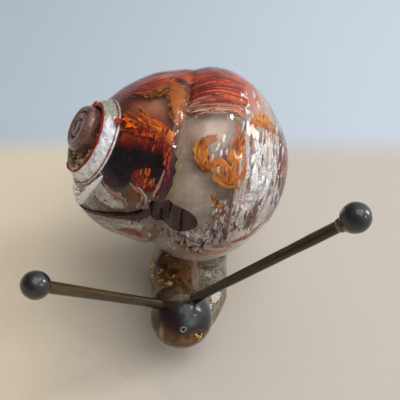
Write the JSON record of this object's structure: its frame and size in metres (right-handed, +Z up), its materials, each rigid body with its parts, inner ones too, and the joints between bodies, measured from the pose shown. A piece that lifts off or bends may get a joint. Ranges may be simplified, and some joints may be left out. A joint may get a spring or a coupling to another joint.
{
  "type": "snail figurine",
  "caption": "Small lampworked glass snail: clear cased coiled shell with streaks of colour, on a flat smoky foot, with a bead head and two long eye stalks.",
  "frame": {"origin": "on the flat sole, under the shell", "axes": "+Z up, the head towards -Y, the shell's tip towards -X"},
  "size_m": [0.0383, 0.048, 0.0332],
  "materials": {
    "clear_glass": "polished clear glass",
    "opal_glass": "milky opal glass",
    "orange_glass": "translucent orange glass",
    "red_glass": "translucent red glass",
    "burgundy_glass": "near black burgundy glass",
    "amber_glass": "translucent amber glass",
    "pink_glass": "translucent pink glass",
    "tip_glass": "pinkish grey glass",
    "silver_leaf": "crackled silver leaf",
    "gold_leaf": "flakes of gold leaf",
    "smoke_glass": "crackled smoky glass",
    "neck_glass": "dark amber glass",
    "head_glass": "blue-black glass over amber",
    "brow_glass": "olive glass",
    "stalk_glass": "olive bronze glass",
    "bead_glass": "near black glass"
  },
  "bodies": {
    "root": {"shell_casing": "clear_glass", "opal_core": "opal_glass", "burgundy_patch": "burgundy_glass", "orange_window": "orange_glass", "amber_window": "amber_glass", "tip_orange_patch": "orange_glass", "crest_orange_strip": "orange_glass", "amber_veil": "amber_glass", "under_orange_strip": "orange_glass", "burgundy_paddle": "burgundy_glass", "burgundy_trail": "burgundy_glass", "orange_streaks": "orange_glass", "red_streaks": "red_glass", "orange_loops": "orange_glass", "silver_leaf": "silver_leaf", "pink_veil": "pink_glass", "lower_red_streak": "red_glass", "silver_flecks": "silver_leaf", "apex_button": "tip_glass", "apex_spiral_thread": "burgundy_glass", "silver_groove_band": "silver_leaf", "groove_border_threads": "red_glass", "foot": "smoke_glass", "shell_seat": "smoke_glass", "neck": "neck_glass", "gold_flecks": "gold_leaf", "head_bead": "head_glass", "brow_bridge": "brow_glass", "left_stalk": "stalk_glass", "right_stalk": "stalk_glass", "left_eye_bead": "bead_glass", "right_eye_bead": "bead_glass", "right_collar": "stalk_glass"}
  },
  "joints": []
}
